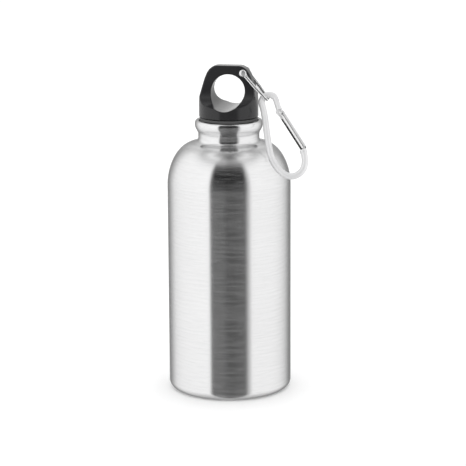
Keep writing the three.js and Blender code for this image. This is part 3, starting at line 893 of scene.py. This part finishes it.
def make_carabiner():
    wire = wire_line()
    start, start_next = np.array(wire[0]), np.array(wire[1])
    start_way = (start_next - start) / np.linalg.norm(start_next - start)
    turned = GATE_TRAVEL + math.radians(3)
    reach = 0.5
    corner = reach * math.tan(turned / 2)
    neck_corners = [(-3.4, -2.6), (0, -TONGUE_RADIUS), (2.2, -1.6), (1.2, reach), (-3.4, reach)]
    neck_outline = rounded(neck_corners, 0.9)
    far = (corner + 6.5 * math.cos(turned), reach - 6.5 * math.sin(turned))
    clear = [(-6, reach), (-6, -6), far, (corner, reach)]
    nose = [(19, -0.9), (23.5, -0.9), (23.5, 0.5), (19, 0.5)]

    def distance(x, y, z):
        away, _ = line_distance(x, y, wire)
        rod = np.hypot(away, z) - WIRE_RADIUS
        behind = -((x - start[0]) * start_way[0] + (y - start[1]) * start_way[1])
        near_start = (x < GATE_HINGE[0] + 1) & (y > 2.5) & (x > 6)
        rod = meet(rod, np.where(near_start, behind, -9.0), 0.3)
        beyond = np.where((x < 36.5) & (y > 6), 35.4 - x, -9.0)
        rod = meet(rod, beyond, 0.25)
        along, out = to_gate(x, y)
        flat = np.abs(z) - TONGUE_HALF
        round_end = np.hypot(along, out) - TONGUE_RADIUS
        tongue = np.minimum(round_end, outline_distance(along, out, neck_outline))
        tongue = meet(np.maximum(tongue, outline_distance(along, out, clear)), flat, 0.2)
        nose_tongue = meet(outline_distance(along, out, nose), flat, 0.15)
        collar = meet(np.hypot(y - 9.5, z) - WIRE_RADIUS - 0.25, np.abs(x - 35.4) - 0.7, 0.2)
        frame_shape = join(join(rod, tongue, 0.25), np.minimum(collar, nose_tongue), 0.12)
        return cut(frame_shape, np.hypot(along, out) - PIVOT_RADIUS - GAP / 2, 0.1)

    cell = 0.22
    grid = (span(-2.2, 48.6, cell), span(-9.6, 11.9, cell), span(-2.4, 2.4, cell))
    unmirrored(surface_piece("carabiner", distance, grid, material=ALUMINIUM, body="carabiner",
                             node="carabiner_frame", slot="satin_aluminium", place=carabiner_place()))


def make_gate():
    inside = GATE_WEB - GATE_SHEET
    inner_half = GATE_HALF_DEPTH - GATE_SHEET

    def distance(x, y, z):
        length = slab(x, GATE_TOP, GATE_LENGTH)
        outer = meet(np.abs(z) - GATE_HALF_DEPTH, y - GATE_WEB, 0.6)
        hollow = meet(np.abs(z) - inner_half, y - inside, 0.2)
        leg_end = np.where(z > 0, -GATE_FRONT_LEG - y, -GATE_REAR_LEG - y)
        channel = meet(cut(outer, hollow, 0.05), leg_end, 0.1)
        channel = meet(channel, length, 0.12)
        ear = meet(np.hypot(x, y) - GATE_WEB, slab(z, inner_half, GATE_HALF_DEPTH), 0.1)
        tab = np.maximum(slab(y, -1.5, inside), np.abs(z) - inner_half - 0.1)
        tab = np.maximum(tab, slab(x, SPRING_SEAT, SPRING_SEAT + GATE_SHEET))
        gate = np.minimum(np.minimum(channel, ear), tab)
        notch = np.maximum(18.5 - x, np.maximum(-y, np.abs(z) - inner_half))
        gate = cut(gate, notch, 0.08)
        return cut(gate, np.hypot(x, y) - PIVOT_RADIUS - RUNNING_GAP, 0.05)

    cell = 0.13
    grid = (span(GATE_TOP - 0.4, GATE_LENGTH + 0.4, cell), span(-GATE_REAR_LEG - 0.3, GATE_WEB + 0.3, cell),
            span(-GATE_HALF_DEPTH - 0.3, GATE_HALF_DEPTH + 0.3, cell))
    unmirrored(surface_piece("gate", distance, grid, material=GATE_ALUMINIUM, body="gate",
                             node="carabiner_gate", slot="polished_aluminium", place=gate_place()))


def make_gate_pin():
    profile = rivet_profile(PIVOT_RADIUS, PIVOT_HEAD_RADIUS, PIVOT_HEAD_HEIGHT, GATE_HALF_DEPTH + GAP / 2)
    points, faces = revolved(profile, 32)
    make_piece("gate_pin", points, faces, POLISHED, "carabiner", "gate_pivot_pin", "polished_steel",
               place=gate_place())


def make_plunger():
    corners = [(0, PLUNGER_TIP), (PLUNGER_RADIUS * 0.6, PLUNGER_TIP + 0.12),
               (PLUNGER_RADIUS, PLUNGER_TIP + 0.6), (PLUNGER_RADIUS, PLUNGER_END), (0, PLUNGER_END)]
    points, faces = revolved(corners, 32)
    place = gate_place() @ Matrix.Translation((0, PLUNGER_SIDE, 0)) @ Matrix.Rotation(math.pi / 2, 4, "Y")
    make_piece("plunger", points, faces, POLISHED, "plunger", "gate_plunger", "polished_steel", place=place)


def make_gate_spring():
    """A coil of round wire with flat ends."""
    wire_radius, turns, around, sides = 0.15, 7, 20, 8
    # The coil is drawn at its length with the gate open, since a piece keeps its shape in every pose.
    start = PLUNGER_END + PLUNGER_TRAVEL + RUNNING_GAP + wire_radius
    end = SPRING_SEAT - GAP - wire_radius
    coil = PLUNGER_RADIUS - wire_radius
    along = np.array([1, 0, 0])
    points, faces = [], []
    steps = turns * around
    for i in range(steps + 1):
        angle = 2 * math.pi * i / around
        out = np.array([0, math.cos(angle), math.sin(angle)])
        centre = along * (start + (end - start) * i / steps) + coil * out
        for k in range(sides):
            bearing = 2 * math.pi * k / sides
            points.append(centre + wire_radius * (math.cos(bearing) * out + math.sin(bearing) * along))
    for i in range(steps):
        for k in range(sides):
            a, b = i * sides + k, i * sides + (k + 1) % sides
            faces.append([a, a + sides, b + sides, b])
    faces.append(list(range(sides)))
    faces.append([steps * sides + k for k in reversed(range(sides))])
    place = gate_place() @ Matrix.Translation((0, PLUNGER_SIDE, 0))
    make_piece("gate_spring_coil", np.array(points), faces, SPRING, "gate", "gate_spring", "spring_steel",
               place=place)


# ---------------------------------------------------------------- stage


CAMERA_AZIMUTH = math.radians(12)  # from straight in front towards the carabiner's side


def towards_camera():
    return Vector((math.sin(CAMERA_AZIMUTH), -math.cos(CAMERA_AZIMUTH), 0))


def make_camera():
    distance, height = 1.1, 0.33227
    image_width, focal_length = 466, 2128.6  # in pixels
    pitch, yaw, roll = math.radians(12.755), 3.7 / focal_length, math.radians(0.3)
    ahead = -towards_camera()
    right = Vector((math.cos(CAMERA_AZIMUTH), math.sin(CAMERA_AZIMUTH), 0))
    ahead, right = (ahead * math.cos(yaw) + right * math.sin(yaw),
                    right * math.cos(yaw) - ahead * math.sin(yaw))
    level_up = Vector((0, 0, 1))
    forward = ahead * math.cos(pitch) - level_up * math.sin(pitch)
    up = ahead * math.sin(pitch) + level_up * math.cos(pitch)
    right, up = right * math.cos(roll) - up * math.sin(roll), up * math.cos(roll) + right * math.sin(roll)
    camera = bpy.data.objects.new("camera", bpy.data.cameras.new("camera"))
    camera.data.sensor_width = 36
    camera.data.lens = camera.data.sensor_width * focal_length / image_width
    turn = Matrix((right, up, -forward)).transposed().to_4x4()
    camera.matrix_world = Matrix.Translation(towards_camera() * distance + Vector((0, 0, height))) @ turn
    bpy.context.scene.collection.objects.link(camera)
    bpy.context.scene.camera = camera


def make_floor():
    """A pale sweep under the bottle that ends a little in front of it."""
    front, size = 0.14, 0.8
    centre = -towards_camera() * (size - front)
    rim = [(centre.x + size * math.cos(a), centre.y + size * math.sin(a), 0)
           for a in np.arange(96) * 2 * math.pi / 96]
    mesh = bpy.data.meshes.new("floor")
    mesh.from_pydata(rim, [], [list(range(len(rim)))])
    material, tree, shader = new_material("floor")
    shader.inputs["Roughness"].default_value = 0.9
    shader.inputs["Specular IOR Level"].default_value = 0.1
    grain = noise(tree, object_place(tree), 60)
    tree.links.new(mix(tree, grain, (0.90, 0.90, 0.90), (0.92, 0.92, 0.92)), shader.inputs["Base Color"])
    mesh.materials.append(material)
    floor = bpy.data.objects.new("floor", mesh)
    bpy.context.scene.collection.objects.link(floor)
    unmirrored(floor)


def make_studio():
    """A white studio with soft panels at both sides and a dark room behind the camera.

    Its strength differs for what the camera sees, for soft light and for mirror images.
    """
    world = bpy.data.worlds.new("studio")
    bpy.context.scene.world = world
    world.use_nodes = True
    tree = world.node_tree
    way = add_node(tree, "ShaderNodeTexCoord").outputs["Generated"]
    x, y, z = add_node(tree, "ShaderNodeSeparateXYZ", {0: way}).outputs
    c = towards_camera()
    front = weighted(tree, x, c.x, y, c.y)
    side = weighted(tree, y, c.x, x, -c.y)
    bearing = math_node(tree, "ARCTAN2", side, front)  # 0 at the camera, growing to the right
    share = math_node(tree, "ADD", math_node(tree, "DIVIDE", bearing, 2 * math.pi), 0.5)
    rise = math_node(tree, "ADD", math_node(tree, "DIVIDE", z, 2), 0.5)

    def by_bearing(stops):
        return ramp(tree, share, [(degrees / 360 + 0.5, level) for degrees, level in stops])

    def by_height(stops):
        places = [(math.sin(math.radians(degrees)) / 2 + 0.5, level) for degrees, level in stops]
        return ramp(tree, rise, places)

    panels = mix(
        tree,
        1.0,
        by_bearing([(-180, 1.0), (-166, 1.0), (-154, 0.65), (-140, 0.75), (-122, 0.95),
                    (-38.5, 1.0), (40, 0.9), (46, 0.96), (90, 0.95), (114, 0.88), (130, 0.75), (146, 0.55),
                    (156, 0.65), (166, 1.0), (180, 1.0)]),
        by_height([(-90, 0.5), (-30, 0.9), (-8, 1.0), (38, 1.0), (48, 0.85), (56, 0.55), (63, 0.75),
                   (68, 0.95), (74, 0.6), (80, 0.3), (90, 0.2)]),
        "MULTIPLY",
    )
    room = mix(
        tree,
        1.0,
        by_bearing([(-38, 1.3), (-14, 1.2), (-3, 0.85), (6, 0.8), (16, 0.95), (36, 1.1)]),
        by_height([(-60, 0.16), (-14, 0.12), (0, 0.075), (14, 0.012), (32, 0.0), (40, 0.0), (47, 0.1),
                   (58, 0.38), (68, 0.4), (78, 0.13), (90, 0.1)]),
        "MULTIPLY",
    )
    gap = by_bearing([(-38.5, 0), (-34.5, 1), (30, 1), (42, 0)])
    both = mix(tree, gap, panels, room)
    path = add_node(tree, "ShaderNodeLightPath")
    plain = add_node(tree, "ShaderNodeBackground", {"Color": (1, 1, 1, 1), "Strength": 1.05})
    soft = add_node(tree, "ShaderNodeBackground", {"Color": (1, 1, 1, 1), "Strength": 1.45})
    mirrored = add_node(tree, "ShaderNodeBackground", {"Color": both, "Strength": 1.08})
    lit = add_node(tree, "ShaderNodeMixShader",
                   {0: path.outputs["Is Diffuse Ray"], 1: mirrored.outputs[0], 2: soft.outputs[0]})
    seen = add_node(tree, "ShaderNodeMixShader",
                    {0: path.outputs["Is Camera Ray"], 1: lit.outputs[0], 2: plain.outputs[0]})
    output = tree.nodes.get("World Output") or add_node(tree, "ShaderNodeOutputWorld")
    tree.links.new(seen.outputs[0], output.inputs["Surface"])
    bpy.context.scene.view_settings.view_transform = "Standard"


make_camera()
make_floor()
make_studio()
make_shell()
make_base_disc()
make_thread_ring()
make_gasket()
make_cap()
make_link_rivet()
make_link()
make_carabiner()
make_gate()
make_gate_pin()
make_plunger()
make_gate_spring()
